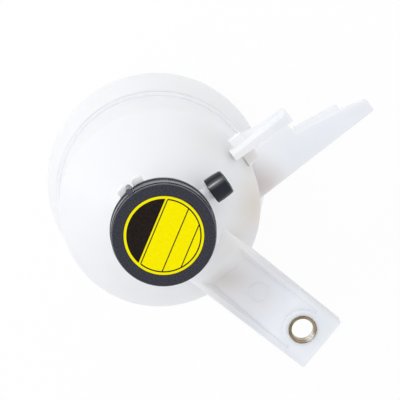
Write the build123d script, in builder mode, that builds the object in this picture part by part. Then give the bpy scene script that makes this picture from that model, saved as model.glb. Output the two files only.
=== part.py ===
import os
from math import cos, pi, radians, sin, tan

from build123d import *

os.makedirs("parts", exist_ok=True)

# Tank shells, base at Z = 0 and filler axis on Z
wall_t = 2.8
base_t = 3.0
base_corner_r = 52.0
base_edge_r = 16.0
bulge_r = 64.8
bulge_z = 50.0
bulge_edge_r = 30.0
weld_z = 79.0
weld_lip = 2.0
weld_flange_t = 3.0
shoulder_r = 54.2
wall_draft = 1.0
wall_h = 50.0
shoulder_edge_r = 2.4
dome_h = 35.0
dome_bulge = 3.2
crown_drop = 1.0
neck_r = 22.4
neck_h = 25.5
neck_root_r = 3.0
tiny = 0.01

# Angles round the filler axis, bolt arm along +X
nipple_deg = 73.7
bracket_deg = 77.2
lug_deg = 165.7
lug_spread_deg = 9.3
tab_deg = 167.2
outlet_deg = -10.5

# Bolt arm with edge ribs, a sloping tray and a raised pad round the bush
arm_drop = 7.5
arm_root_x = 20.0
arm_end_x = 110.2
arm_root_w = 33.8
arm_end_w = 31.9
arm_floor_t = 3.0
tray_root_depth = 5.0
tray_end_depth = 0.5
tray_wall_run = 3.0
step_x = 39.1
step_slant_deg = 7.6
step_run = 7.0
arm_rib_w = 3.2
arm_rib_h = 9.0
arm_corner_r = 1.2
arm_edge_r = 0.7
bush_inset = 13.9
bush_r = 7.5
bush_bore_r = 5.85
bush_stand = 0.3
bush_break = 0.6
pad_r = 10.8
pad_t = 5.2
mark_x = 65.9
mark_y = 0.7
mark_r = 5.6
mark_w = 1.1
mark_h = 0.4

# Tongue on the weld flange, measured along and across the bracket direction
tongue_root_a = 36.0
tongue_tip_a = 124.5
tongue_right_b = -39.0
tongue_tip_w = 7.5
tongue_web_w = 24.6
tongue_web_a = 80.5
tongue_t = 3.6
flange_start_a = 82.0
flange_start_w = 17.2
flange_end_a = 109.6
flange_end_w = 12.2
tongue_flange_t = 2.8
tongue_flange_h = 21.0
tongue_tip_r = 1.2
tongue_edge_r = 0.8

# Hose clip on the shoulder: ridged blade, side tab, foot and gusset
clip_rise = 16.0
clip_root_a = 49.2
clip_end_a = 85.8
clip_crest_b = 1.3
clip_left_w = 2.2
clip_right_w = 3.5
clip_flare = 2.0
clip_roof = 1.7
clip_hip = 3.1
clip_h = 12.5
clip_tab_a = 52.2
clip_tab_len = 7.7
clip_tab_w = 5.1
clip_tab_t = 4.0
clip_foot_a = 52.4
clip_foot_len = 7.1
clip_foot_w = 8.8
clip_foot_rise = 4.0
clip_foot_h = 14.0
clip_edge_r = 0.7
gusset_root_a = 45.0
gusset_a = 74.0
gusset_drop = 23.0
gusset_lap = 4.0
gusset_t = 2.8

# Overflow nipple on the neck and its rubber blanking cap
nipple_rise = 7.0
nipple_r = 4.0
nipple_bore_r = 2.25
nipple_end = 38.4
blank_start = 30.5
blank_wall = 2.9
blank_taper = 0.45
blank_barrel = 0.25
blank_end_t = 2.1
blank_fit = 0.05
blank_edge_r = 1.3
blank_mouth_r = 0.4
blank_dish_r = 4.6
blank_dish = 0.6

# Stop lugs under the cap skirt
lug_end = 30.6
lug_w = 6.2
lug_h = 5.0
lug_gap = 0.6
lug_corner_r = 1.7
lug_edge_r = 0.7

# Outlet spigot low on the tank
outlet_z = 23.0
outlet_r = 9.5
outlet_bore_r = 7.0
outlet_end = 90.0
outlet_break = 0.8
outlet_root = 66.0
outlet_flare = 2.5

# Screw cap
gasket_gap = 0.05
gasket_t = 1.5
gasket_inset = 0.6
flange_t = 2.0
cap_run_gap = 0.3
cap_plate_t = 2.65
cap_h = 14.0
cap_disc_r = 26.4
cap_disc_h = 2.4
cap_edge_r = 0.9
cap_groove_r = 25.7
cap_groove_h = 0.6
knurl_r = 26.8
knurl_depth = 0.2
knurl_count = 180
cap_rim_r = 27.2
cap_rim_h = 2.2
cap_thread_room = 1.8
cap_bead_in = 1.0
cap_bead_h = 1.0
tab_r = 1.45
tab_reach = 1.1
tab_drop = 1.6
label_r = 20.2
label_t = 0.35
label_sink = 0.3
label_fit = 0.1

# Pressure and vacuum valve insert
housing_play = 0.7
housing_wall_t = 2.2
housing_len = 29.85
housing_foot_t = 2.6
housing_waist_in = 1.9
groove_rise = 4.4
groove_h = 3.4
groove_depth = 2.4
ring_gap = 0.1
seat_r = 8.0
window_r = 2.4
valve_seal_r = 11.0
valve_seal_hole_r = 3.3
valve_seal_t = 1.2
plate_r = 12.4
plate_t = 2.0
plate_hole_r = 2.2
guide_r = 7.2
guide_h = 2.0
spring_r = 9.4
spring_wire = 0.75
spring_turns = 5.0
spring_end_gap = 0.1
wire_sides = 6
retainer_t = 2.4
retainer_drop = 5.45
retainer_hole_r = 5.0
poppet_r = 5.4
poppet_t = 1.2
poppet_gap = 0.05
stem_r = 1.5
stem_h = 9.6
stem_head_r = 3.4
stem_head_t = 1.2
small_spring_r = 2.7
small_spring_wire = 0.3
small_spring_turns = 4.0

# Sizes that follow
shoulder_z = weld_z + wall_h
dome_z = shoulder_z + dome_h
neck_top_z = dome_z + neck_h
wall_foot_r = shoulder_r + wall_draft
weld_flange_r = wall_foot_r + weld_lip
neck_bore_r = neck_r - wall_t
dome_run = shoulder_r - neck_r
dome_fall = dome_z - shoulder_z
dome_chord = (dome_run**2 + dome_fall**2) ** 0.5
dome_mid_r = (neck_r + shoulder_r) / 2 + dome_bulge * dome_fall / dome_chord
dome_mid_z = (dome_z + shoulder_z) / 2 + dome_bulge * dome_run / dome_chord
arm_top_z = dome_z - arm_drop
bush_x = arm_end_x - bush_inset
tray_root_z = arm_top_z - tray_root_depth
tray_end_z = arm_top_z - tray_end_depth
tray_rise = (tray_end_z - tray_root_z) / (bush_x - arm_root_x)
tray_stretch = (1 + tray_rise**2) ** 0.5
arm_half = arm_end_w / 2 - arm_rib_w
tray_half = arm_root_w / 2 - arm_rib_w
floor_half = tray_half - tray_wall_run
step_lean = tan(radians(step_slant_deg)) * tray_half
floor_start = (step_x + step_run - arm_root_x) * tray_stretch
floor_end = (bush_x - arm_root_x) * tray_stretch
mark_run = (mark_x - arm_root_x) * tray_stretch
gasket_z = neck_top_z + gasket_gap
flange_z = gasket_z + gasket_t
cap_under_z = flange_z + flange_t + cap_run_gap
cap_top_z = cap_under_z + cap_plate_t
cap_skirt_z = cap_top_z - cap_h
cap_bore_r = neck_r + cap_thread_room
cap_knurl_z = cap_skirt_z + cap_rim_h
cap_groove_z = cap_top_z - cap_disc_h - cap_groove_h
housing_foot_z = flange_z - housing_len
groove_z = housing_foot_z + groove_rise
retainer_z = flange_z + flange_t - retainer_drop
housing_r = neck_bore_r - housing_play
housing_bore_r = housing_r - groove_depth - housing_wall_t
housing_waist_z = groove_z + groove_h
ring_r = (housing_play + groove_depth - ring_gap) / 2
seat_z = housing_foot_z + housing_foot_t
plate_z = seat_z + valve_seal_t
spring_z = plate_z + plate_t + spring_end_gap
spring_top_z = retainer_z - spring_end_gap
poppet_z = seat_z - poppet_gap - poppet_t
head_z = poppet_z + poppet_t + stem_h - stem_head_t
small_spring_z = plate_z + plate_t + spring_end_gap
flange_r = cap_bore_r - cap_run_gap
tongue_tip_b = tongue_right_b + tongue_tip_w
tongue_web_b = tongue_right_b + tongue_web_w
flange_start_b = tongue_right_b + flange_start_w
flange_end_b = tongue_right_b + flange_end_w
clip_left_b = clip_crest_b + clip_left_w
clip_right_b = clip_crest_b - clip_right_w
clip_top_z = shoulder_z + clip_rise
clip_eave_z = clip_top_z - clip_roof
clip_foot_z = shoulder_z + clip_foot_rise
gusset_z = shoulder_z - gusset_drop
clip_under_z = clip_top_z - clip_h
nipple_z = dome_z + nipple_rise
blank_r = nipple_r + blank_fit + blank_wall
blank_end = nipple_end + blank_end_t
blank_mid = (blank_start + blank_end) / 2
blank_mid_r = blank_r - blank_taper / 2 + blank_barrel

nipple_dir = (cos(radians(nipple_deg)), sin(radians(nipple_deg)), 0)
bracket_dir = (cos(radians(bracket_deg)), sin(radians(bracket_deg)), 0)
outlet_dir = (cos(radians(outlet_deg)), sin(radians(outlet_deg)), 0)
tray_plane = Plane(
    origin=(arm_root_x, 0, tray_root_z),
    x_dir=(1, 0, tray_rise),
    z_dir=(-tray_rise, 0, 1),
)
nipple_plane = Plane(origin=(0, 0, nipple_z), x_dir=(0, 0, 1), z_dir=nipple_dir)
nipple_side = Plane(
    origin=(0, 0, nipple_z),
    x_dir=nipple_dir,
    z_dir=(nipple_dir[1], -nipple_dir[0], 0),
)
bracket_plane = Plane(origin=(0, 0, 0), x_dir=bracket_dir, z_dir=(0, 0, 1))
bracket_side = Plane(
    origin=(0, 0, 0),
    x_dir=bracket_dir,
    z_dir=(bracket_dir[1], -bracket_dir[0], 0),
)
bracket_cross = Plane(
    origin=(0, 0, 0),
    x_dir=(-bracket_dir[1], bracket_dir[0], 0),
    z_dir=bracket_dir,
)
outlet_plane = Plane(origin=(0, 0, outlet_z), x_dir=(0, 0, 1), z_dir=outlet_dir)
outlet_side = Plane(
    origin=(0, 0, outlet_z),
    x_dir=outlet_dir,
    z_dir=(outlet_dir[1], -outlet_dir[0], 0),
)

# Bolt arm: ribbed block with a tapered tray, a bush pad and a moulded mark
with BuildPart() as bolt_arm:
    with BuildSketch(Plane.XY.offset(arm_top_z - arm_rib_h)):
        Polygon(
            (arm_root_x, -arm_root_w / 2),
            (arm_end_x, -arm_end_w / 2),
            (arm_end_x, arm_end_w / 2),
            (arm_root_x, arm_root_w / 2),
            align=None,
        )
    extrude(amount=arm_rib_h)
    # Hollow between the ribs, under floor and pad
    with BuildSketch(Plane.XZ):
        Polygon(
            (arm_root_x, arm_top_z - arm_rib_h),
            (arm_end_x, arm_top_z - arm_rib_h),
            (arm_end_x, arm_top_z - pad_t),
            (bush_x, arm_top_z - pad_t),
            (bush_x, tray_end_z - arm_floor_t),
            (arm_root_x, tray_root_z - arm_floor_t),
            align=None,
        )
    extrude(amount=arm_half, both=True, mode=Mode.SUBTRACT)
    # Tray with leaning walls and a slanted step at the root
    with BuildSketch(Plane.XY.offset(arm_top_z)):
        Polygon(
            (step_x - step_lean, -tray_half),
            (bush_x, -arm_half),
            (bush_x, arm_half),
            (step_x + step_lean, tray_half),
            align=None,
        )
    with BuildSketch(tray_plane):
        Polygon(
            (floor_start - step_lean, -floor_half),
            (floor_end, -arm_half),
            (floor_end, arm_half),
            (floor_start + step_lean, floor_half),
            align=None,
        )
    loft(ruled=True, mode=Mode.SUBTRACT)
    with BuildSketch(Plane.XY.offset(arm_top_z - pad_t)):
        with Locations((bush_x, 0)):
            Circle(pad_r)
    extrude(amount=pad_t)
    ends = bolt_arm.edges().filter_by(Axis.Z).group_by(Axis.X)[-1].group_by(Axis.Y)
    fillet(ends[0] + ends[-1], arm_corner_r)
    with BuildSketch(tray_plane):
        with Locations((mark_run, mark_y)):
            Circle(mark_r)
            Circle(mark_r - mark_w, mode=Mode.SUBTRACT)
    extrude(amount=mark_h, both=True)
    with BuildSketch(Plane.XY.offset(arm_top_z)):
        with Locations((bush_x, 0)):
            Circle(bush_r)
    extrude(amount=-arm_rib_h, mode=Mode.SUBTRACT)
    fillet(bolt_arm.faces().sort_by(Axis.Z)[-1].outer_wire().edges(), arm_edge_r)

# Tongue plate with a wide web at its root and a turned-down flange
with BuildPart() as tongue:
    with BuildSketch(bracket_plane.offset(weld_z)):
        Polygon(
            (tongue_root_a, tongue_right_b),
            (tongue_tip_a, tongue_right_b),
            (tongue_tip_a, tongue_tip_b),
            (flange_end_a, flange_end_b),
            (flange_start_a, flange_start_b),
            (tongue_web_a, tongue_web_b),
            (tongue_root_a, tongue_web_b),
            align=None,
        )
    extrude(amount=tongue_t)
    with BuildSketch(bracket_plane.offset(weld_z + tongue_t)):
        Polygon(
            (flange_start_a, flange_start_b - tongue_flange_t),
            (flange_end_a, flange_end_b - tongue_flange_t),
            (flange_end_a, flange_end_b),
            (flange_start_a, flange_start_b),
            align=None,
        )
    extrude(amount=-tongue_flange_h)
    tip = tongue.edges().filter_by(Axis.Z).sort_by(bracket_plane.location.x_axis)[-2:]
    fillet(tip, tongue_tip_r)
    fillet(tongue.edges().group_by(Axis.Z)[-1], tongue_edge_r)

# Hose clip: foot, side tab, blade with a ridged top and gusset
with BuildPart() as hose_clip:
    with BuildSketch(bracket_plane.offset(clip_foot_z)):
        Polygon(
            (clip_foot_a, clip_left_b),
            (clip_foot_a + clip_foot_len, clip_left_b),
            (clip_foot_a + clip_foot_len, clip_right_b - clip_foot_w),
            (clip_foot_a, clip_right_b - clip_foot_w),
            align=None,
        )
    extrude(amount=-clip_foot_h)
    fillet(hose_clip.edges().group_by(Axis.Z)[-1], clip_edge_r)
    with BuildSketch(bracket_plane.offset(clip_eave_z)):
        Polygon(
            (clip_tab_a, clip_crest_b),
            (clip_tab_a + clip_tab_len, clip_crest_b),
            (clip_tab_a + clip_tab_len, clip_left_b + clip_tab_w),
            (clip_tab_a, clip_left_b + clip_tab_w),
            align=None,
        )
    extrude(amount=-clip_tab_t)
    fillet(hose_clip.edges().group_by(Axis.Z)[-1], clip_edge_r)
    with BuildSketch(bracket_cross.offset(clip_root_a)):
        Polygon(
            (clip_right_b, clip_under_z),
            (clip_right_b, clip_eave_z),
            (clip_crest_b, clip_top_z),
            (clip_left_b, clip_eave_z),
            (clip_left_b, clip_under_z),
            align=None,
        )
    with BuildSketch(bracket_cross.offset(clip_end_a)):
        Polygon(
            (clip_right_b - clip_flare, clip_under_z),
            (clip_right_b - clip_flare, clip_eave_z),
            (clip_crest_b, clip_top_z),
            (clip_left_b, clip_eave_z),
            (clip_left_b, clip_under_z),
            align=None,
        )
    loft(ruled=True)
    with BuildSketch(bracket_side):
        Polygon(
            (clip_end_a - clip_hip, clip_top_z),
            (clip_end_a, clip_eave_z),
            (clip_end_a, clip_top_z),
            align=None,
        )
    extrude(amount=clip_right_w + clip_flare, both=True, mode=Mode.SUBTRACT)
    with BuildSketch(bracket_side.offset(-clip_crest_b - gusset_t / 2)):
        Polygon(
            (gusset_root_a, gusset_z),
            (shoulder_r, gusset_z),
            (gusset_a, clip_under_z),
            (gusset_a, clip_under_z + gusset_lap),
            (gusset_root_a, clip_under_z + gusset_lap),
            align=None,
        )
    extrude(amount=gusset_t)

# Pair of stop lugs beside the pointer tab of the cap
with BuildPart() as stop_lugs:
    for side in (-1, 1):
        turn = radians(lug_deg + side * lug_spread_deg)
        lug_plane = Plane(
            origin=(0, 0, cap_skirt_z - lug_gap),
            x_dir=(cos(turn), sin(turn), 0),
            z_dir=(0, 0, 1),
        )
        with BuildSketch(lug_plane):
            with Locations(((neck_bore_r + lug_end) / 2, 0)):
                RectangleRounded(lug_end - neck_bore_r, lug_w, lug_corner_r)
        extrude(amount=-lug_h)
    fillet(stop_lugs.edges().group_by(Axis.Z)[-1], lug_edge_r)

# Upper shell: dome, neck, arms, clip, nipple and lugs in one moulding
with BuildPart() as upper_shell:
    with BuildSketch(Plane.XZ):
        with BuildLine():
            Polyline(
                (neck_r, dome_z),
                (neck_r, neck_top_z),
                (0, neck_top_z),
                (0, weld_z),
                (weld_flange_r, weld_z),
                (weld_flange_r, weld_z + weld_flange_t),
                (wall_foot_r, weld_z + weld_flange_t),
                (shoulder_r, shoulder_z),
            )
            ThreePointArc((shoulder_r, shoulder_z), (dome_mid_r, dome_mid_z), (neck_r, dome_z))
        make_face()
    revolve(axis=Axis.Z)
    rim = upper_shell.edges().filter_by_position(Axis.Z, shoulder_z - tiny, shoulder_z + tiny)
    fillet(rim, shoulder_edge_r)
    root = upper_shell.edges().filter_by_position(Axis.Z, dome_z - tiny, dome_z + tiny)
    fillet(root, neck_root_r)
    add(bolt_arm.part)
    add(tongue.part)
    add(hose_clip.part)
    add(stop_lugs.part)
    # Overflow nipple
    with BuildSketch(nipple_plane.offset(neck_bore_r)):
        Circle(nipple_r)
    extrude(amount=nipple_end - neck_bore_r)
    # Hollow inside and the bore of the nipple
    with BuildSketch(Plane.XZ):
        with BuildLine():
            Polyline(
                (neck_bore_r, dome_z - crown_drop),
                (neck_bore_r, neck_top_z),
                (0, neck_top_z),
                (0, weld_z),
                (wall_foot_r - wall_t, weld_z),
                (shoulder_r - wall_t, shoulder_z - crown_drop),
            )
            ThreePointArc(
                (shoulder_r - wall_t, shoulder_z - crown_drop),
                (dome_mid_r - wall_t, dome_mid_z - crown_drop),
                (neck_bore_r, dome_z - crown_drop),
            )
        make_face()
    revolve(axis=Axis.Z, mode=Mode.SUBTRACT)
    with BuildSketch(nipple_plane.offset(nipple_end)):
        Circle(nipple_bore_r)
    extrude(amount=-(nipple_end - neck_bore_r / 2), mode=Mode.SUBTRACT)
upper_shell.part.label = "upper_shell"
export_step(upper_shell.part, "parts/upper_shell.step")

# Lower shell: bulged bowl with the outlet spigot
with BuildPart() as lower_shell:
    with BuildSketch(Plane.XZ):
        with BuildLine():
            Polyline(
                (0, 0),
                (base_corner_r, 0),
                (bulge_r, bulge_z),
                (wall_foot_r, weld_z - weld_flange_t),
                (weld_flange_r, weld_z - weld_flange_t),
                (weld_flange_r, weld_z),
                (0, weld_z),
                close=True,
            )
        make_face()
    revolve(axis=Axis.Z)
    foot = lower_shell.edges().filter_by_position(Axis.Z, -tiny, tiny)
    fillet(foot, base_edge_r)
    belly = lower_shell.edges().filter_by_position(Axis.Z, bulge_z - tiny, bulge_z + tiny)
    fillet(belly, bulge_edge_r)
    with BuildSketch(outlet_side):
        with BuildLine():
            Polyline(
                (bulge_r / 2, 0),
                (outlet_end, 0),
                (outlet_end, outlet_r - outlet_break),
                (outlet_end - outlet_break, outlet_r),
                (outlet_root, outlet_r),
                (outlet_root - outlet_flare, outlet_r + outlet_flare),
                (bulge_r / 2, outlet_r + outlet_flare),
                close=True,
            )
        make_face()
    revolve(axis=Axis((0, 0, outlet_z), outlet_dir))
    with BuildSketch(Plane.XZ) as hollow:
        with BuildLine():
            Polyline(
                (0, base_t),
                (base_corner_r - wall_t, base_t),
                (bulge_r - wall_t, bulge_z),
                (wall_foot_r - wall_t, weld_z - weld_flange_t),
                (wall_foot_r - wall_t, weld_z),
                (0, weld_z),
                close=True,
            )
        make_face()
        inner_foot = hollow.vertices().sort_by_distance((base_corner_r - wall_t, base_t))[0]
        fillet(inner_foot, base_edge_r - wall_t)
        inner_belly = hollow.vertices().sort_by_distance((bulge_r - wall_t, bulge_z))[0]
        fillet(inner_belly, bulge_edge_r - wall_t)
    revolve(axis=Axis.Z, mode=Mode.SUBTRACT)
    with BuildSketch(outlet_plane.offset(bulge_r / 2)):
        Circle(outlet_bore_r)
    extrude(amount=outlet_end, mode=Mode.SUBTRACT)
lower_shell.part.label = "lower_shell"
export_step(lower_shell.part, "parts/lower_shell.step")

# Steel bush pressed into the bolt arm
with BuildPart() as mount_bush:
    with BuildSketch(Plane.XY.offset(arm_top_z - pad_t - bush_stand)):
        with Locations((bush_x, 0)):
            Circle(bush_r)
            Circle(bush_bore_r, mode=Mode.SUBTRACT)
    extrude(amount=pad_t + 2 * bush_stand)
    fillet(mount_bush.edges().filter_by(GeomType.CIRCLE).group_by(SortBy.RADIUS)[0], bush_break)
mount_bush.part.label = "mount_bush"
export_step(mount_bush.part, "parts/mount_bush.step")

# Rubber blanking cap on the overflow nipple, a little barrelled, with a dished end
with BuildPart() as nipple_cap:
    with BuildSketch(nipple_side) as rubber:
        with BuildLine():
            ThreePointArc(
                (blank_start, blank_r),
                (blank_mid, blank_mid_r),
                (blank_end, blank_r - blank_taper),
            )
            Polyline(
                (blank_end, blank_r - blank_taper),
                (blank_end, blank_dish_r),
                (blank_end - blank_dish, blank_dish_r),
                (blank_end - blank_dish, 0),
                (nipple_end + blank_fit, 0),
                (nipple_end + blank_fit, nipple_r + blank_fit),
                (blank_start, nipple_r + blank_fit),
                (blank_start, blank_r),
            )
        make_face()
        brim = rubber.vertices().sort_by_distance((blank_end, blank_r - blank_taper))[0]
        fillet(brim, blank_edge_r)
        mouth = rubber.vertices().sort_by_distance((blank_start, blank_r))[0]
        fillet(mouth, blank_mouth_r)
    revolve(axis=Axis((0, 0, nipple_z), nipple_dir))
nipple_cap.part.label = "nipple_cap"
export_step(nipple_cap.part, "parts/nipple_cap.step")

# Cap shell with fine grip teeth, pointer tab and label recess
with BuildPart() as cap_shell:
    tooth = pi / knurl_count
    teeth = []
    for k in range(knurl_count):
        teeth.append((knurl_r * cos(2 * k * tooth), knurl_r * sin(2 * k * tooth)))
        low_r = knurl_r - knurl_depth
        teeth.append((low_r * cos((2 * k + 1) * tooth), low_r * sin((2 * k + 1) * tooth)))
    with BuildSketch(Plane.XY.offset(cap_knurl_z)):
        Polygon(*teeth, align=None)
    extrude(amount=cap_groove_z - cap_knurl_z)
    with BuildSketch(Plane.XY.offset(cap_skirt_z)):
        Circle(cap_rim_r)
    extrude(amount=cap_rim_h)
    with BuildSketch(Plane.XY.offset(cap_groove_z)):
        Circle(cap_groove_r)
    extrude(amount=cap_groove_h)
    with BuildSketch(Plane.XY.offset(cap_top_z - cap_disc_h)):
        Circle(cap_disc_r)
    extrude(amount=cap_disc_h)
    fillet(cap_shell.edges().group_by(Axis.Z)[-1], cap_edge_r)
    tab_plane = Plane(
        origin=(0, 0, cap_skirt_z),
        x_dir=(cos(radians(tab_deg)), sin(radians(tab_deg)), 0),
        z_dir=(0, 0, 1),
    )
    with BuildSketch(tab_plane):
        with Locations((cap_rim_r + tab_reach, 0)):
            Circle(tab_r)
        with Locations(((cap_bore_r + cap_rim_r + tab_reach) / 2, 0)):
            Rectangle(cap_rim_r + tab_reach - cap_bore_r, 2 * tab_r)
    extrude(amount=cap_h - tab_drop)
    with BuildSketch(Plane.XY.offset(cap_skirt_z)):
        Circle(cap_bore_r)
    extrude(amount=cap_under_z - cap_skirt_z, mode=Mode.SUBTRACT)
    with BuildSketch(Plane.XY.offset(flange_z - cap_run_gap)):
        Circle(cap_bore_r)
        Circle(cap_bore_r - cap_bead_in, mode=Mode.SUBTRACT)
    extrude(amount=-cap_bead_h)
    with BuildSketch(Plane.XY.offset(cap_top_z)):
        Circle(label_r + label_fit)
    extrude(amount=-label_sink, mode=Mode.SUBTRACT)
cap_shell.part.label = "cap_shell"
export_step(cap_shell.part, "parts/cap_shell.step")

# Printed disc on the cap
with BuildPart() as cap_label:
    with BuildSketch(Plane.XY.offset(cap_top_z - label_sink)):
        Circle(label_r)
    extrude(amount=label_t)
cap_label.part.label = "cap_label"
export_step(cap_label.part, "parts/cap_label.step")

# Valve housing that hangs in the neck
with BuildPart() as valve_housing:
    with BuildSketch(Plane.XZ):
        with BuildLine():
            Polyline(
                (seat_r, housing_foot_z),
                (housing_r, housing_foot_z),
                (housing_r, groove_z - groove_h / 2),
                (housing_r - groove_depth, groove_z - groove_h / 2),
                (housing_r - groove_depth, groove_z + groove_h / 2),
                (housing_r, groove_z + groove_h / 2),
                (housing_r, housing_waist_z),
                (housing_r - housing_waist_in, housing_waist_z),
                (housing_r - housing_waist_in, flange_z),
                (flange_r, flange_z),
                (flange_r, flange_z + flange_t),
                (housing_bore_r, flange_z + flange_t),
                (housing_bore_r, seat_z),
                (seat_r, seat_z),
                close=True,
            )
        make_face()
    revolve(axis=Axis.Z)
    with BuildSketch(Plane.XZ.offset(-housing_r)):
        with Locations((0, nipple_z + groove_h)):
            Circle(window_r)
    extrude(amount=2 * housing_r, mode=Mode.SUBTRACT)
    with BuildSketch(Plane.YZ.offset(-housing_r)):
        with Locations((0, nipple_z + groove_h)):
            Circle(window_r)
    extrude(amount=2 * housing_r, mode=Mode.SUBTRACT)
valve_housing.part.label = "valve_housing"
export_step(valve_housing.part, "parts/valve_housing.step")

# Ring that seals the housing in the neck bore
with BuildPart() as housing_ring:
    with BuildSketch(Plane.XZ):
        with Locations((housing_r - groove_depth + ring_r, groove_z)):
            Circle(ring_r)
    revolve(axis=Axis.Z)
housing_ring.part.label = "housing_ring"
export_step(housing_ring.part, "parts/housing_ring.step")

# Flat gasket on the neck rim
with BuildPart() as neck_gasket:
    with BuildSketch(Plane.XY.offset(gasket_z)):
        Circle(neck_r - gasket_inset)
        Circle(housing_r - housing_waist_in, mode=Mode.SUBTRACT)
    extrude(amount=gasket_t)
neck_gasket.part.label = "neck_gasket"
export_step(neck_gasket.part, "parts/neck_gasket.step")

# Spring retainer pressed into the top of the housing
with BuildPart() as spring_retainer:
    with BuildSketch(Plane.XY.offset(retainer_z)):
        Circle(housing_bore_r)
        Circle(retainer_hole_r, mode=Mode.SUBTRACT)
    extrude(amount=retainer_t)
spring_retainer.part.label = "spring_retainer"
export_step(spring_retainer.part, "parts/spring_retainer.step")

# Pressure valve plate with its spring guide
with BuildPart() as pressure_plate:
    with BuildSketch(Plane.XY.offset(plate_z)):
        Circle(plate_r)
    extrude(amount=plate_t)
    with BuildSketch(Plane.XY.offset(plate_z + plate_t)):
        Circle(guide_r)
        Circle(guide_r - plate_t, mode=Mode.SUBTRACT)
    extrude(amount=guide_h)
    with BuildSketch(Plane.XY.offset(plate_z)):
        Circle(plate_hole_r)
    extrude(amount=plate_t, mode=Mode.SUBTRACT)
pressure_plate.part.label = "pressure_plate"
export_step(pressure_plate.part, "parts/pressure_plate.step")

# Rubber disc under the pressure plate
with BuildPart() as pressure_seal:
    with BuildSketch(Plane.XY.offset(seat_z)):
        Circle(valve_seal_r)
        Circle(valve_seal_hole_r, mode=Mode.SUBTRACT)
    extrude(amount=valve_seal_t)
pressure_seal.part.label = "pressure_seal"
export_step(pressure_seal.part, "parts/pressure_seal.step")

# Pressure spring
spring_rise = spring_top_z - spring_z - 2 * spring_wire
with BuildPart() as pressure_spring:
    with BuildLine() as coil:
        Helix(spring_rise / spring_turns, spring_rise, spring_r, center=(0, 0, spring_z + spring_wire))
    with BuildSketch(Plane(origin=coil.line @ 0, z_dir=coil.line % 0)):
        RegularPolygon(spring_wire, wire_sides)
    sweep(path=coil.line, is_frenet=True)
pressure_spring.part.label = "pressure_spring"
export_step(pressure_spring.part, "parts/pressure_spring.step")

# Vacuum valve poppet with stem and head
with BuildPart() as vacuum_valve:
    with BuildSketch(Plane.XY.offset(poppet_z)):
        Circle(poppet_r)
    extrude(amount=poppet_t)
    with BuildSketch(Plane.XY.offset(poppet_z)):
        Circle(stem_r)
    extrude(amount=poppet_t + stem_h)
    with BuildSketch(Plane.XY.offset(head_z)):
        Circle(stem_head_r)
    extrude(amount=stem_head_t)
vacuum_valve.part.label = "vacuum_valve"
export_step(vacuum_valve.part, "parts/vacuum_valve.step")

# Vacuum valve spring
small_rise = head_z - spring_end_gap - small_spring_z - 2 * small_spring_wire
with BuildPart() as vacuum_spring:
    with BuildLine() as small_coil:
        Helix(
            small_rise / small_spring_turns,
            small_rise,
            small_spring_r,
            center=(0, 0, small_spring_z + small_spring_wire),
        )
    with BuildSketch(Plane(origin=small_coil.line @ 0, z_dir=small_coil.line % 0)):
        RegularPolygon(small_spring_wire, wire_sides)
    sweep(path=small_coil.line, is_frenet=True)
vacuum_spring.part.label = "vacuum_spring"
export_step(vacuum_spring.part, "parts/vacuum_spring.step")
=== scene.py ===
"""Looks of a coolant expansion tank.

A milky tank of two shells, a charcoal screw cap with a printed disc, a rubber blanking cap and a
metal bush.
"""
from math import radians

import bpy
import numpy as np
from mathutils import Matrix, Vector


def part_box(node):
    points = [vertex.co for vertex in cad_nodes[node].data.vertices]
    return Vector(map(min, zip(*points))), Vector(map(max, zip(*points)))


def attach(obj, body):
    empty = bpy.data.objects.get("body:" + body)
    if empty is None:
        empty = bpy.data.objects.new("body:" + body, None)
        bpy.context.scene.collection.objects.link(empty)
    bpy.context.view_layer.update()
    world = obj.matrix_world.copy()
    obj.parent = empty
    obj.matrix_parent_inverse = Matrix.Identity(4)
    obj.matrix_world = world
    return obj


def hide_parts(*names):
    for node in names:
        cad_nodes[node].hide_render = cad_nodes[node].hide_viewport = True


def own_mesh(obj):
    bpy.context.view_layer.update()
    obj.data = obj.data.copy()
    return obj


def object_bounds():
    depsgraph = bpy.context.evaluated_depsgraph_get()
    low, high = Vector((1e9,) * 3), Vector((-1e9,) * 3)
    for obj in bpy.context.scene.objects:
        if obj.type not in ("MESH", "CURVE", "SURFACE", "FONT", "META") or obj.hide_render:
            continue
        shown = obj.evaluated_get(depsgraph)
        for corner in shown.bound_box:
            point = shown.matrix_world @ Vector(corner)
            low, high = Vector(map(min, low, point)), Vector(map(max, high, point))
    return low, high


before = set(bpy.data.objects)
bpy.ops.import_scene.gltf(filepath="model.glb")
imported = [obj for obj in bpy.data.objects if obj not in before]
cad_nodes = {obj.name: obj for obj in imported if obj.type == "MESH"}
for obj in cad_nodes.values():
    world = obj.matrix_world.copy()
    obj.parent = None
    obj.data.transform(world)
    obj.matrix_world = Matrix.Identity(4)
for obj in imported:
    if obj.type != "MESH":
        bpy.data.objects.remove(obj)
cad_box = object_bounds()
MM = 0.001

# Camera, nearly overhead, set by its eye, the way it looks and the way up in the picture
EYE = Vector((-0.1384, 0.1316, 1.0578))
LOOK = Vector((0.16037, -0.12067, -0.97965))
PICTURE_UP = Vector((-0.61050, 0.76770, -0.19476))
LENS_MM = 158.4
SENSOR_MM = 36.0
CLIP_END = 20.0

# Light: an even surround, a soft key from the picture's left and a strip lamp above it that gives
# the glints; each lamp is a name, a place, its width and height and a power in watts
LAMPS = (
    ("key", Vector((-1.04, -0.46, 0.78)), (0.5, 0.5), 2.1),
    ("strip", Vector((-1.015, 0.215, 0.966)), (0.6, 0.14), 1.45),
)
AIM = Vector((0.02, 0.01, 0.10))
SURROUND = 0.93
SURROUND_COLOUR = (0.98, 0.984, 0.996, 1)
WHITE = (1, 1, 1, 1)

# Floor: half its width, its gap under the part, its own grey and how much of the white it shows
FLOOR_REACH = 3.0
FLOOR_GAP = 0.2 * MM
FLOOR_GREY = (0.95, 0.95, 0.95, 1)
FLOOR_WHITE_SHARE = 0.9

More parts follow.
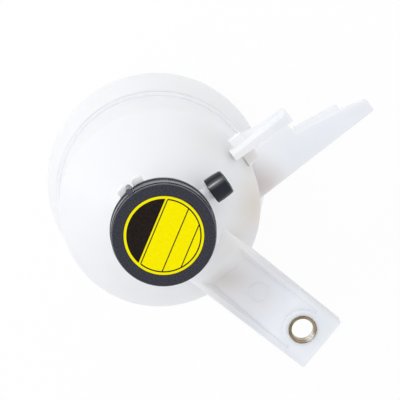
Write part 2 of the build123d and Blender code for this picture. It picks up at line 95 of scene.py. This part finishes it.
# Tank: the deep and the pale colour of each shell, with painted shade, darker and cooler, in the
# brackets from this far off the axis
UPPER_MILK = ((0.877, 0.884, 0.907), (0.927, 0.932, 0.948))
# the lower shell's colours are a paler copy of the same plastic: painted light
LOWER_MILK = ((0.930, 0.936, 0.950), (0.965, 0.969, 0.977))
BRACKET_FROM = (52 * MM, 78 * MM)
BRACKET_SHADE_TINT = (0.91, 0.928, 0.95)

# Painted shade and painted light on the milky wall: darker tints at the roots, rims, flank,
# shoulder, step and ends, lighter ones at the nipple and the dome beside it; each a centre and its
# reach in millimetres, the turn of its length in degrees and the tint there
PAINTED_LIGHT_AND_SHADE_PLACES = (
    ((38, 35, 137), (27, 28, 32), 0, (0.85, 0.785, 0.70)),  # dome flank
    ((43, 40, 83), (21, 21, 18), 0, (0.81, 0.76, 0.72)),  # root of the tongue
    ((47, -4.5, 153), (17, 11, 10), 39, (0.87, 0.84, 0.80)),  # painted shade on the bolt arm
    ((55, 0, 156), (34, 40, 25), 0, (0.84, 0.83, 0.835)),  # root of the arm
    ((86, 18.5, 152), (58, 6.5, 16), 0, (0.75, 0.735, 0.735)),  # the arm's one rim
    ((82, -18, 152), (60, 8, 16), 0, (0.785, 0.785, 0.795)),  # the arm's other rim
    ((20, 52, 131), (12, 12, 14), 0, (0.90, 0.87, 0.83)),  # foot of the hose clip
    ((-4, 47, 141), (24, 20, 22), 0, (0.955, 0.945, 0.915)),  # shoulder behind the cap
    ((38, 13, 150), (16, 16, 16), 0, (1.00, 0.975, 0.92)),  # step of the arm
    ((106, 8, 156), (22, 26, 16), 0, (0.95, 0.96, 0.955)),  # end of the arm
    ((61, 114, 82), (22, 22, 14), 0, (0.955, 0.955, 0.955)),  # tip of the tongue
    ((8, 31, 173), (9, 10, 9), 0, (1.05, 1.055, 1.06)),  # painted light on the nipple
    ((-3, 37, 162), (14, 11, 11), 0, (1.04, 1.04, 1.04)),  # painted light on the dome beside the nipple
)

# Printed disc: the print's own direction, its fields in metres, and the inks' two shades
PRINT_TURN_DEG = 16.4
BLACK_FIELD_EDGE = -6.5 * MM
BLACK_FIELD_R = 18.9 * MM
OUTLINE_R = 18.6 * MM
OUTLINE_HALF_W = 0.34 * MM
RULES = (-5.3 * MM, 6.2 * MM, 14.2 * MM)
RULE_HALF_W = 0.28 * MM
YELLOW_INK = ((0.89, 0.78, 0.0), (0.95, 0.85, 0.0))
BLACK_INK = ((0.012, 0.009, 0.008), (0.022, 0.016, 0.013))

# Cap: its grain starts at the rim of the top face. Up its side follow a dark foot, the grip
# lightened by a painted reflection, the groove under the rim darkened by painted shade and the rim
# lightened by a painted highlight. Painted shade lies between the grip's teeth.
GRAIN_EDGE = (195.5 * MM, 195.95 * MM)
GRAIN_SHADES = ((0.41, (0.0005, 0.0015, 0.006)), (0.68, (0.035, 0.037, 0.062)))
CAP_SIDE = (182.0 * MM, 196.0 * MM)
CAP_SIDE_PAINTED_LIGHT_AND_SHADE = (
    (0.14, (0.018, 0.019, 0.024)),
    (0.21, (0.240, 0.256, 0.310)),
    (0.62, (0.240, 0.256, 0.310)),
    (0.68, (0.004, 0.005, 0.008)),
    (0.84, (0.004, 0.005, 0.008)),
    (0.90, (0.115, 0.124, 0.148)),
)
CAP_BLOTCH = (0.55, 0.56, 0.60)
GRIP_TOP = 0.66
GRIP_TEETH = 180
GRIP_PAINTED_SHADE = (0.10, 0.10, 0.11)

# Bush: darker at its outer edge; one side of its bore is smoother and carries a painted highlight,
# its place given in millimetres from its axis
BUSH_GOLD = ((0.20, 0.145, 0.075), (0.37, 0.285, 0.185))
BUSH_DARK_EDGE = (0.17, 0.135, 0.09)
BUSH_PAINTED_GLINT = (0.97, 0.95, 0.88)
BUSH_EDGE = (6.8 * MM, 7.4 * MM)
RUBBED_GLINT_PLACE = (5.6, -0.6, 155)
RUBBED_GLINT_REACH = (3.5, 4.5, 6.0)

# Turning rings, in radians to the metre
BUSH_RINGS = 26000
BRASS_RINGS = 22000

# Rubber cap: handling has rubbed a shiny line along its crown, given by a centre and a reach in
# millimetres and the line's turn
SHINE_PLACE = (6.4, 35.0, 177.0)
SHINE_REACH = (14.0, 2.6, 3.0)
SHINE_TURN_DEG = 73.7

# Screw thread of neck and cap; its ends run out over this many radians
PITCH = 6.0 * MM
NECK_R = 22.4 * MM
CAP_BORE_R = 24.2 * MM
THREAD_SUNK = 0.2 * MM
THREAD_PROUD = 1.25 * MM
THREAD_ROOT_W = 2.3 * MM
THREAD_CREST_W = 1.0 * MM
THREAD_Z = 183.4 * MM
THREAD_RUN_OUT = 0.35
THREAD_STEPS = 145
NECK_TURNS = (0.0, 0.8)
CAP_TURNS = (0.5, 1.25)

# Coil springs: mean radius, wire radius and turns; steps to a turn, sides of the wire, and where on
# the rounded tip the wire starts, as a share of its radius
PRESSURE_COIL = (9.4 * MM, 0.75 * MM, 5.0)
VACUUM_COIL = (2.7 * MM, 0.3 * MM, 4.0)
COIL_STEPS = 64
WIRE_SIDES = 14
TIP_START = 0.3

# Weld bead between the two shells, with its waves: size, count round the seam and start in radians
SEAM_Z = 79.0 * MM
SEAM_R = 57.1 * MM
BEAD_R = 0.45 * MM
BEAD_STEPS = 288
BEAD_SIDES = 10
BEAD_WAVES = ((0.10, 5, 0.6), (0.07, 13, 2.1), (0.05, 29, 0.0))


def new_material(name):
    """A node material, its shader and the Object coordinates that its patterns hang on."""
    material = bpy.data.materials.new(name)
    material.use_nodes = True
    tree = material.node_tree
    shader = tree.nodes["Principled BSDF"]
    place = tree.nodes.new("ShaderNodeTexCoord").outputs["Object"]
    return material, tree, shader, place


def noise(tree, place, per_metre, detail=3.0, roughness=0.5):
    """Soft random pattern with this many features to the metre."""
    node = tree.nodes.new("ShaderNodeTexNoise")
    node.inputs["Scale"].default_value = per_metre
    node.inputs["Detail"].default_value = detail
    node.inputs["Roughness"].default_value = roughness
    tree.links.new(place, node.inputs["Vector"])
    return node.outputs["Fac"]


def stretch(tree, place, scale=(1, 1, 1), turn_deg=0.0, shift=(0, 0, 0)):
    """Object coordinates shifted, turned about Z and scaled."""
    node = tree.nodes.new("ShaderNodeMapping")
    node.inputs["Location"].default_value = shift
    node.inputs["Rotation"].default_value = (0, 0, radians(turn_deg))
    node.inputs["Scale"].default_value = scale
    tree.links.new(place, node.inputs["Vector"])
    return node.outputs["Vector"]


def split(tree, vector):
    """The X, Y and Z of a vector."""
    node = tree.nodes.new("ShaderNodeSeparateXYZ")
    tree.links.new(vector, node.inputs["Vector"])
    return node.outputs["X"], node.outputs["Y"], node.outputs["Z"]


def length(tree, vector):
    """The length of a vector."""
    node = tree.nodes.new("ShaderNodeVectorMath")
    node.operation = "LENGTH"
    tree.links.new(vector, node.inputs[0])
    return node.outputs["Value"]


def calc(tree, operation, *values):
    """One step of arithmetic on sockets and numbers."""
    node = tree.nodes.new("ShaderNodeMath")
    node.operation = operation
    for slot, value in zip(node.inputs, values):
        if isinstance(value, (int, float)):
            slot.default_value = value
        else:
            tree.links.new(value, slot)
    return node.outputs[0]


def shades(tree, factor, *stops):
    """Colours along a factor, each stop a place from 0 to 1 and a colour."""
    node = tree.nodes.new("ShaderNodeValToRGB")
    ramp = node.color_ramp
    while len(ramp.elements) < len(stops):
        ramp.elements.new(1.0)
    for element, (at, colour) in zip(ramp.elements, stops):
        element.position = at
        element.color = (*colour, 1.0)
    tree.links.new(factor, node.inputs["Fac"])
    return node.outputs["Color"]


def clouded(tree, factor, deep, pale):
    """From a deep colour to a pale one over the middle of a random pattern."""
    return shades(tree, factor, (0.3, deep), (0.7, pale))


def spread(tree, factor, low, high):
    """A factor from 0 to 1 laid over the range from low to high."""
    node = tree.nodes.new("ShaderNodeMapRange")
    node.inputs["To Min"].default_value = low
    node.inputs["To Max"].default_value = high
    tree.links.new(factor, node.inputs["Value"])
    return node.outputs["Result"]


def between(tree, value, start, end):
    """0 at start and before it, 1 at end and past it, with an even rise between them."""
    node = tree.nodes.new("ShaderNodeMapRange")
    node.inputs["From Min"].default_value = start
    node.inputs["From Max"].default_value = end
    tree.links.new(value, node.inputs["Value"])
    return node.outputs["Result"]


def blend_values(tree, factor, first, second):
    """The first value where the factor is 0 and the second where it is 1."""
    node = tree.nodes.new("ShaderNodeMix")
    for slot, value in zip(node.inputs[:1] + node.inputs[2:4], (factor, first, second)):
        tree.links.new(value, slot)
    return node.outputs[0]


def relief(tree, shader, height, strength, depth):
    """Fine relief on the surface from a height pattern."""
    node = tree.nodes.new("ShaderNodeBump")
    node.inputs["Strength"].default_value = strength
    node.inputs["Distance"].default_value = depth
    tree.links.new(height, node.inputs["Height"])
    tree.links.new(node.outputs["Normal"], shader.inputs["Normal"])


def mix(tree, factor, first, second):
    """The first colour where the factor is 0 and the second where it is 1."""
    node = tree.nodes.new("ShaderNodeMix")
    node.data_type = "RGBA"
    tree.links.new(factor, node.inputs["Factor"])
    for slot, colour in ((node.inputs[6], first), (node.inputs[7], second)):
        if isinstance(colour, tuple):
            slot.default_value = (*colour, 1.0)
        else:
            tree.links.new(colour, slot)
    return node.outputs[2]


def tinted(tree, factor, colour, tint):
    """A colour multiplied by a tint as far as the factor says."""
    node = tree.nodes.new("ShaderNodeMix")
    node.data_type = "RGBA"
    node.blend_type = "MULTIPLY"
    tree.links.new(factor, node.inputs["Factor"])
    tree.links.new(colour, node.inputs[6])
    node.inputs[7].default_value = (*tint, 1.0)
    return node.outputs[2]


def axis_distance(tree, place, shift=(0, 0, 0)):
    """Distance from the upright axis that shift brings to the origin."""
    return length(tree, stretch(tree, place, scale=(1, 1, 0), shift=shift))


def haze(tree, place, centre, reach, turn_deg):
    """1 at a centre, falling smoothly to 0 on an ellipsoid of this reach turned about Z."""
    node = tree.nodes.new("ShaderNodeMapping")
    node.vector_type = "TEXTURE"
    node.inputs["Location"].default_value = centre
    node.inputs["Rotation"].default_value = (0, 0, radians(turn_deg))
    node.inputs["Scale"].default_value = reach
    tree.links.new(place, node.inputs["Vector"])
    fall = tree.nodes.new("ShaderNodeMapRange")
    fall.interpolation_type = "SMOOTHSTEP"
    fall.inputs["To Min"].default_value = 1.0
    fall.inputs["To Max"].default_value = 0.0
    tree.links.new(length(tree, node.outputs["Vector"]), fall.inputs["Value"])
    return fall.outputs["Result"]


def metres(millimetres):
    """A vector of millimetres in metres."""
    return Vector(millimetres) * MM


def milky_plastic(name, deep, pale):
    """Satin translucent polypropylene with faint flow clouds, painted shade and light in places, and
    a moulded skin.
    """
    material, tree, shader, place = new_material(name)
    clouds = noise(tree, stretch(tree, place, scale=(1, 1, 0.5)), per_metre=22, detail=4)
    skin = noise(tree, place, per_metre=900, detail=2)
    # painted shade: the brackets are tinted darker and cooler
    bracket_shade = between(tree, axis_distance(tree, place), *BRACKET_FROM)
    tint = tinted(tree, bracket_shade, clouded(tree, clouds, deep, pale), BRACKET_SHADE_TINT)
    # painted shade and painted light: each place multiplies the colour by its tint
    for centre, reach, turn_deg, painted_tint in PAINTED_LIGHT_AND_SHADE_PLACES:
        near = haze(tree, place, metres(centre), metres(reach), turn_deg)
        tint = tinted(tree, near, tint, painted_tint)
    tree.links.new(tint, shader.inputs["Base Color"])
    tree.links.new(spread(tree, clouds, low=0.30, high=0.42), shader.inputs["Roughness"])
    shader.inputs["IOR"].default_value = 1.49
    shader.inputs["Subsurface Weight"].default_value = 0.6
    shader.inputs["Subsurface Radius"].default_value = (1.0, 0.94, 0.86)
    shader.inputs["Subsurface Scale"].default_value = 5 * MM
    relief(tree, shader, skin, strength=0.06, depth=0.2 * MM)
    return material


def charcoal_grain():
    """Charcoal plastic: a spark-eroded grain on the cap's top face, polished sides with the grip,
    and painted reflection, highlight and shade up the sides.
    """
    material, tree, shader, place = new_material("charcoal_grain")
    grain = noise(tree, place, per_metre=1500, detail=3, roughness=0.6)
    blotch = noise(tree, place, per_metre=160)
    x, y, z = split(tree, place)
    top = between(tree, z, *GRAIN_EDGE)
    up_side = between(tree, z, *CAP_SIDE)
    # painted reflection on the grip, painted highlight on the rim and painted shade in the groove
    painted_side = tinted(tree, blotch, shades(tree, up_side, *CAP_SIDE_PAINTED_LIGHT_AND_SHADE), CAP_BLOTCH)
    crest = calc(tree, "COSINE", calc(tree, "MULTIPLY", calc(tree, "ARCTAN2", y, x), GRIP_TEETH))
    on_grip = calc(tree, "LESS_THAN", up_side, GRIP_TOP)
    valley = calc(tree, "MULTIPLY", between(tree, crest, start=0.5, end=-0.5), on_grip)
    # painted shade in the valleys between the grip's teeth
    painted_side = tinted(tree, valley, painted_side, GRIP_PAINTED_SHADE)
    dark = shades(tree, grain, *GRAIN_SHADES)
    tree.links.new(mix(tree, top, painted_side, dark), shader.inputs["Base Color"])
    polished = spread(tree, blotch, low=0.18, high=0.28)
    eroded = spread(tree, blotch, low=0.42, high=0.58)
    tree.links.new(blend_values(tree, top, polished, eroded), shader.inputs["Roughness"])
    shader.inputs["Specular IOR Level"].default_value = 0.45
    pits = calc(tree, "MULTIPLY", grain, spread(tree, top, low=0.1, high=1.0))
    relief(tree, shader, pits, strength=0.6, depth=0.4 * MM)
    return material


def printed_film():
    """Yellow printed film: a black field, a thin outline and plain rules.

    The field and the rules go by the distance across the print, the outline by the distance from
    the disc's centre."""
    material, tree, shader, place = new_material("printed_film")
    flat = stretch(tree, place, scale=(1, 1, 0), turn_deg=-PRINT_TURN_DEG)
    across = split(tree, flat)[0]
    radius = length(tree, flat)
    field = calc(tree, "LESS_THAN", across, BLACK_FIELD_EDGE)
    ink = calc(tree, "MULTIPLY", field, calc(tree, "LESS_THAN", radius, BLACK_FIELD_R))
    framed = calc(tree, "GREATER_THAN", across, RULES[0])
    ring = calc(tree, "COMPARE", radius, OUTLINE_R, OUTLINE_HALF_W)
    ink = calc(tree, "MAXIMUM", ink, calc(tree, "MULTIPLY", framed, ring))
    inside = calc(tree, "LESS_THAN", radius, OUTLINE_R)
    for at in RULES:
        rule = calc(tree, "COMPARE", across, at, RULE_HALF_W)
        ink = calc(tree, "MAXIMUM", ink, calc(tree, "MULTIPLY", inside, rule))
    speck = noise(tree, place, per_metre=700)
    yellow = clouded(tree, speck, *YELLOW_INK)
    black = clouded(tree, speck, *BLACK_INK)
    tree.links.new(mix(tree, ink, yellow, black), shader.inputs["Base Color"])
    tree.links.new(spread(tree, speck, low=0.42, high=0.56), shader.inputs["Roughness"])
    shader.inputs["Specular IOR Level"].default_value = 0.03
    relief(tree, shader, speck, strength=0.08, depth=0.1 * MM)
    return material


def black_rubber(name, bloom, gloss):
    """Moulded black rubber with a dusty bloom in its fine skin, smoother where gloss is low.

    A line along the blanking cap's crown is rubbed shiny; it reaches no other rubber piece."""
    material, tree, shader, place = new_material(name)
    skin = noise(tree, place, per_metre=1100, detail=4, roughness=0.6)
    dust = noise(tree, place, per_metre=120, detail=4)
    clean = (0.001, 0.002, 0.006)
    dusty = (bloom, bloom * 1.3, bloom * 2.4)
    tint = shades(tree, dust, (0.35, clean), (0.75, dusty))
    tree.links.new(tint, shader.inputs["Base Color"])
    rough = spread(tree, skin, low=gloss * 0.8, high=gloss * 1.2)
    tree.links.new(rough, shader.inputs["Roughness"])
    shader.inputs["Specular IOR Level"].default_value = 0.36
    shader.inputs["Specular Tint"].default_value = (0.78, 0.86, 1.0, 1.0)
    shine = haze(tree, place, metres(SHINE_PLACE), metres(SHINE_REACH), SHINE_TURN_DEG)
    tree.links.new(shine, shader.inputs["Coat Weight"])
    shader.inputs["Coat Roughness"].default_value = 0.24
    shader.inputs["Coat IOR"].default_value = 2.1
    relief(tree, shader, skin, strength=0.05, depth=0.1 * MM)
    return material


def moulded_black():
    """Plain black moulded plastic of the valve housing, with faint flow lines."""
    material, tree, shader, place = new_material("moulded_black")
    flow = noise(tree, stretch(tree, place, scale=(1, 1, 0.2)), per_metre=260, detail=4)
    tint = clouded(tree, flow, deep=(0.020, 0.021, 0.024), pale=(0.050, 0.052, 0.058))
    tree.links.new(tint, shader.inputs["Base Color"])
    tree.links.new(spread(tree, flow, low=0.34, high=0.52), shader.inputs["Roughness"])
    relief(tree, shader, flow, strength=0.10, depth=0.2 * MM)
    return material


def turning_marks(tree, radius, rings):
    """Fine rings: the sine of the distance from the axis."""
    return calc(tree, "SINE", calc(tree, "MULTIPLY", radius, rings))


def pressed_brass():
    """Brass turned about the tank's axis, with fine rings and clouded colour."""
    material, tree, shader, place = new_material("pressed_brass")
    cloud = noise(tree, place, per_metre=240, detail=4)
    tint = clouded(tree, cloud, deep=(0.62, 0.46, 0.20), pale=(0.78, 0.62, 0.32))
    tree.links.new(tint, shader.inputs["Base Color"])
    shader.inputs["Metallic"].default_value = 1.0
    tree.links.new(spread(tree, cloud, low=0.224, high=0.35), shader.inputs["Roughness"])
    rings = turning_marks(tree, axis_distance(tree, place), BRASS_RINGS)
    relief(tree, shader, rings, strength=0.10, depth=0.05 * MM)
    return material


def passivated_bush(axis_x):
    """Yellow-passivated steel: rings, clouded gold, a darker outer edge and a smoother spot in the
    bore with a painted highlight.
    """
    material, tree, shader, place = new_material("passivated_bush")
    radius = axis_distance(tree, place, shift=(-axis_x, 0, 0))
    cloud = noise(tree, place, per_metre=150)
    deep, pale = BUSH_GOLD
    gold = shades(tree, cloud, (0.38, deep), (0.62, pale))
    tint = mix(tree, between(tree, radius, *BUSH_EDGE), gold, BUSH_DARK_EDGE)
    # painted highlight: the bore's smoother spot is mixed towards a near-white gold
    glint_at = Vector((axis_x, 0, 0)) + metres(RUBBED_GLINT_PLACE)
    rubbed = haze(tree, place, glint_at, metres(RUBBED_GLINT_REACH), turn_deg=0)
    tree.links.new(mix(tree, rubbed, tint, BUSH_PAINTED_GLINT), shader.inputs["Base Color"])
    shader.inputs["Metallic"].default_value = 1.0
    dull = spread(tree, cloud, low=0.14, high=0.24)
    rough = calc(tree, "MULTIPLY", dull, spread(tree, rubbed, low=1.0, high=0.2))
    tree.links.new(rough, shader.inputs["Roughness"])
    rings = turning_marks(tree, radius, BUSH_RINGS)
    relief(tree, shader, rings, strength=0.12, depth=0.05 * MM)
    return material


def spring_wire():
    """Drawn steel wire with fine draw marks and a few dull spots."""
    material, tree, shader, place = new_material("spring_wire")
    marks = noise(tree, place, per_metre=1800)
    dull = noise(tree, place, per_metre=300)
    tint = clouded(tree, dull, deep=(0.36, 0.36, 0.38), pale=(0.56, 0.56, 0.58))
    tree.links.new(tint, shader.inputs["Base Color"])
    shader.inputs["Metallic"].default_value = 1.0
    tree.links.new(spread(tree, marks, low=0.22, high=0.4), shader.inputs["Roughness"])
    relief(tree, shader, marks, strength=0.15, depth=0.1 * MM)
    return material


def dress(node, material):
    """Gives a CAD node its material."""
    mesh = cad_nodes[node].data
    mesh.materials.clear()
    mesh.materials.append(material)


def grid_quads(rows, columns, rows_close, columns_close):
    """Quads between neighbours of a grid of points, joined round where a direction closes."""
    down = np.arange(rows if rows_close else rows - 1)
    along = np.arange(columns if columns_close else columns - 1)
    i, j = np.meshgrid(down, along, indexing="ij")
    below = (i + 1) % rows * columns
    beside = (j + 1) % columns
    corners = (i * columns + j, i * columns + beside, below + beside, below + j)
    return np.stack(corners, axis=-1).reshape(-1, 4)


def make_piece(name, points, faces, body, material):
    """A smooth mesh piece with its place in its points, riding on a body."""
    mesh = bpy.data.meshes.new(name)
    mesh.from_pydata(points.reshape(-1, 3).tolist(), [], faces)
    mesh.materials.append(material)
    mesh.shade_smooth()
    piece = bpy.data.objects.new(name, mesh)
    bpy.context.scene.collection.objects.link(piece)
    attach(piece, body)
    return piece


def screw_ridge(name, wall_r, outward, zero_z, turns, body, material):
    """A screw ridge: a trapezium carried along a helix.

    Along the turn t the point is (r cos t, r sin t, z + pitch t / 2 pi). The trapezium runs from a
    root sunk in the wall to a crest that stands off it, outward for the neck and inward for the
    cap, and the crest sinks back into the wall at both ends by a smooth step."""
    t = np.linspace(2 * np.pi * turns[0], 2 * np.pi * turns[1], THREAD_STEPS)
    s = np.clip(np.minimum(t - t[0], t[-1] - t) / THREAD_RUN_OUT, 0, 1)
    swell = s * s * (3 - 2 * s)
    root = np.full(THREAD_STEPS, wall_r - outward * THREAD_SUNK)
    crest = wall_r + outward * (THREAD_PROUD * swell - THREAD_SUNK * 0.5 * (1 - swell))
    radius = np.stack([root, crest, crest, root], axis=1)
    lift = np.array([-THREAD_ROOT_W, -THREAD_CREST_W, THREAD_CREST_W, THREAD_ROOT_W]) / 2
    height = zero_z + PITCH * t[:, None] / (2 * np.pi) + lift[None, :]
    across, ahead = radius * np.cos(t)[:, None], radius * np.sin(t)[:, None]
    points = np.stack([across, ahead, height], axis=-1)
    first_end = np.arange(4)[::-1]
    last_end = np.arange(4) + 4 * (THREAD_STEPS - 1)
    faces = np.concatenate([grid_quads(THREAD_STEPS, 4, False, True), [first_end, last_end]])
    if outward > 0:
        faces = faces[:, ::-1]
    make_piece(name, points, faces.tolist(), body, material)


def weld_bead(material):
    """The bead squeezed out of the weld: a round section carried round the seam.

    At turn t the section's radius is the bead's radius times one plus three small sines, so it
    waves a little."""
    t = np.linspace(0.0, 2 * np.pi, BEAD_STEPS, endpoint=False)[:, None]
    a = np.linspace(0.0, 2 * np.pi, BEAD_SIDES, endpoint=False)[None, :]
    wave = 1 + sum(size * np.sin(count * t + start) for size, count, start in BEAD_WAVES)
    radius = SEAM_R + BEAD_R * wave * np.cos(a)
    height = SEAM_Z + BEAD_R * wave * np.sin(a)
    points = np.stack([radius * np.cos(t), radius * np.sin(t), height], axis=-1)
    faces = grid_quads(BEAD_STEPS, BEAD_SIDES, True, True)[:, ::-1]
    make_piece("weld_bead", points, faces.tolist(), "tank", material)


def coil_spring(name, node, sizes, body, material):
    """A coil spring: a round wire carried along a helix, shortened by its joint to its fixed end.

    At turn t the wire's middle is (R cos t, R sin t, z + rise t / whole turn). Round it the wire's
    circle stands square to the helix, on its outward and its third direction, and at both ends it
    draws in to a rounded tip."""
    mean_r, wire_r, turns = sizes
    low, high = (corner.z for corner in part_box(node))
    steps = int(COIL_STEPS * turns)
    t = np.linspace(0.0, 2 * np.pi * turns, steps)
    rise = high - low - 2 * wire_r
    x, y = np.cos(t), np.sin(t)
    middle = np.stack([mean_r * x, mean_r * y, low + wire_r + rise * t / t[-1]], axis=1)
    along = np.stack([-mean_r * y, mean_r * x, np.full(steps, rise / t[-1])], axis=1)
    along /= np.linalg.norm(along, axis=1, keepdims=True)
    outward = np.stack([x, y, np.zeros(steps)], axis=1)
    third = np.cross(along, outward)
    near_end = np.minimum(t - t[0], t[-1] - t) * mean_r / wire_r
    swell = np.sqrt(1 - (1 - np.clip(TIP_START + near_end, 0, 1)) ** 2)
    a = np.linspace(0.0, 2 * np.pi, WIRE_SIDES, endpoint=False)[None, :, None]
    circle = np.cos(a) * outward[:, None, :] + np.sin(a) * third[:, None, :]
    points = middle[:, None, :] + wire_r * swell[:, None, None] * circle
    faces = grid_quads(steps, WIRE_SIDES, False, True).tolist()
    faces.append(list(range(WIRE_SIDES))[::-1])
    faces.append(list(range((steps - 1) * WIRE_SIDES, steps * WIRE_SIDES)))
    piece = make_piece(name, points, faces, body, material)
    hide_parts(node)
    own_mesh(piece)


def dress_nodes():
    """Every CAD node's finish, and the finishes that the added pieces share."""
    tank = milky_plastic("upper_plastic", *UPPER_MILK)
    cap = charcoal_grain()
    seal = black_rubber("seal_rubber", bloom=0.008, gloss=0.3)
    brass = pressed_brass()
    wire = spring_wire()
    bush_x = sum(corner.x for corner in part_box("mount_bush")) / 2
    dress("upper_shell", tank)
    dress("lower_shell", milky_plastic("lower_plastic", *LOWER_MILK))
    for node in ("neck_gasket", "housing_ring", "pressure_seal"):
        dress(node, seal)
    for node in ("spring_retainer", "pressure_plate", "vacuum_valve"):
        dress(node, brass)
    for node in ("pressure_spring", "vacuum_spring"):
        dress(node, wire)
    dress("mount_bush", passivated_bush(bush_x))
    dress("nipple_cap", black_rubber("cap_rubber", bloom=0.004, gloss=0.17))
    dress("cap_shell", cap)
    dress("cap_label", printed_film())
    dress("valve_housing", moulded_black())
    return tank, cap, wire


def add_pieces(tank, cap, wire):
    """Thread on neck and cap, half a pitch apart, the weld bead and the two valve springs."""
    cap_z = THREAD_Z - PITCH / 2
    screw_ridge("neck_thread", NECK_R, 1, THREAD_Z, NECK_TURNS, "tank", tank)
    screw_ridge("cap_thread", CAP_BORE_R, -1, cap_z, CAP_TURNS, "cap", cap)
    weld_bead(tank)
    coil_spring(
        "pressure_coil", "pressure_spring", PRESSURE_COIL, "cap_core", wire
    )
    coil_spring(
        "vacuum_coil", "vacuum_spring", VACUUM_COIL, "pressure_valve", wire
    )


def seen_rays(tree):
    """1 for camera, mirror and see-through rays, 0 for the rays that light the object."""
    path = tree.nodes.new("ShaderNodeLightPath").outputs
    mirrored = calc(tree, "MAXIMUM", path["Is Glossy Ray"], path["Is Transmission Ray"])
    return calc(tree, "MAXIMUM", path["Is Camera Ray"], mirrored)


def blend_surface(tree, share, lit, seen, out):
    """The lit surface, turned into the seen one as far as share says."""
    blend = tree.nodes.new("ShaderNodeMixShader")
    tree.links.new(share, blend.inputs["Fac"])
    tree.links.new(lit, blend.inputs[1])
    tree.links.new(seen, blend.inputs[2])
    tree.links.new(blend.outputs["Shader"], out.inputs["Surface"])


def lay_floor():
    """A wide pale floor that shows white and keeps a light shadow."""
    mesh = bpy.data.meshes.new("floor")
    near, far = -FLOOR_REACH, FLOOR_REACH
    corners = [(near, near, 0), (far, near, 0), (far, far, 0), (near, far, 0)]
    mesh.from_pydata(corners, [], [(0, 1, 2, 3)])
    floor = bpy.data.objects.new("floor", mesh)
    floor.location.z = cad_box[0][2] - FLOOR_GAP
    bpy.context.scene.collection.objects.link(floor)
    material = bpy.data.materials.new("pale_floor")
    material.use_nodes = True
    tree = material.node_tree
    tree.nodes.clear()
    matt = tree.nodes.new("ShaderNodeBsdfDiffuse")
    matt.inputs["Color"].default_value = FLOOR_GREY
    white = tree.nodes.new("ShaderNodeEmission")
    white.inputs["Strength"].default_value = 1.0
    share = calc(tree, "MULTIPLY", seen_rays(tree), FLOOR_WHITE_SHARE)
    out = tree.nodes.new("ShaderNodeOutputMaterial")
    blend_surface(tree, share, matt.outputs["BSDF"], white.outputs["Emission"], out)
    mesh.materials.append(material)


def background(tree, colour, strength):
    """A plain background of the world."""
    node = tree.nodes.new("ShaderNodeBackground")
    node.inputs["Color"].default_value = colour
    node.inputs["Strength"].default_value = strength
    return node.outputs["Background"]


def light_scene():
    """An even white surround and soft lamps that face the object, each level from side to side."""
    world = bpy.data.worlds.new("surround")
    bpy.context.scene.world = world
    world.use_nodes = True
    tree = world.node_tree
    tree.nodes.clear()
    even = background(tree, SURROUND_COLOUR, SURROUND)
    white = background(tree, WHITE, 1.0)
    blend_surface(tree, seen_rays(tree), even, white, tree.nodes.new("ShaderNodeOutputWorld"))
    for name, position, spans, watts in LAMPS:
        data = bpy.data.lights.new(name, "AREA")
        data.shape = "ELLIPSE"
        data.size, data.size_y = spans
        data.energy = watts
        lamp = bpy.data.objects.new(name, data)
        lamp.location = position
        lamp.rotation_euler = (AIM - position).to_track_quat("-Z", "Y").to_euler()
        bpy.context.scene.collection.objects.link(lamp)


def set_camera():
    """The camera at the eye, looking along LOOK with PICTURE_UP upwards in the picture."""
    data = bpy.data.cameras.new("camera")
    data.lens = LENS_MM
    data.sensor_fit = "HORIZONTAL"
    data.sensor_width = SENSOR_MM
    data.clip_end = CLIP_END
    camera = bpy.data.objects.new("camera", data)
    back = -LOOK.normalized()
    right = PICTURE_UP.cross(back).normalized()
    up = back.cross(right)
    turn = Matrix((right, up, back)).transposed()
    camera.matrix_world = Matrix.Translation(EYE) @ turn.to_4x4()
    bpy.context.scene.collection.objects.link(camera)
    bpy.context.scene.camera = camera


add_pieces(*dress_nodes())
lay_floor()
light_scene()
set_camera()
bpy.context.scene.view_settings.view_transform = "Standard"
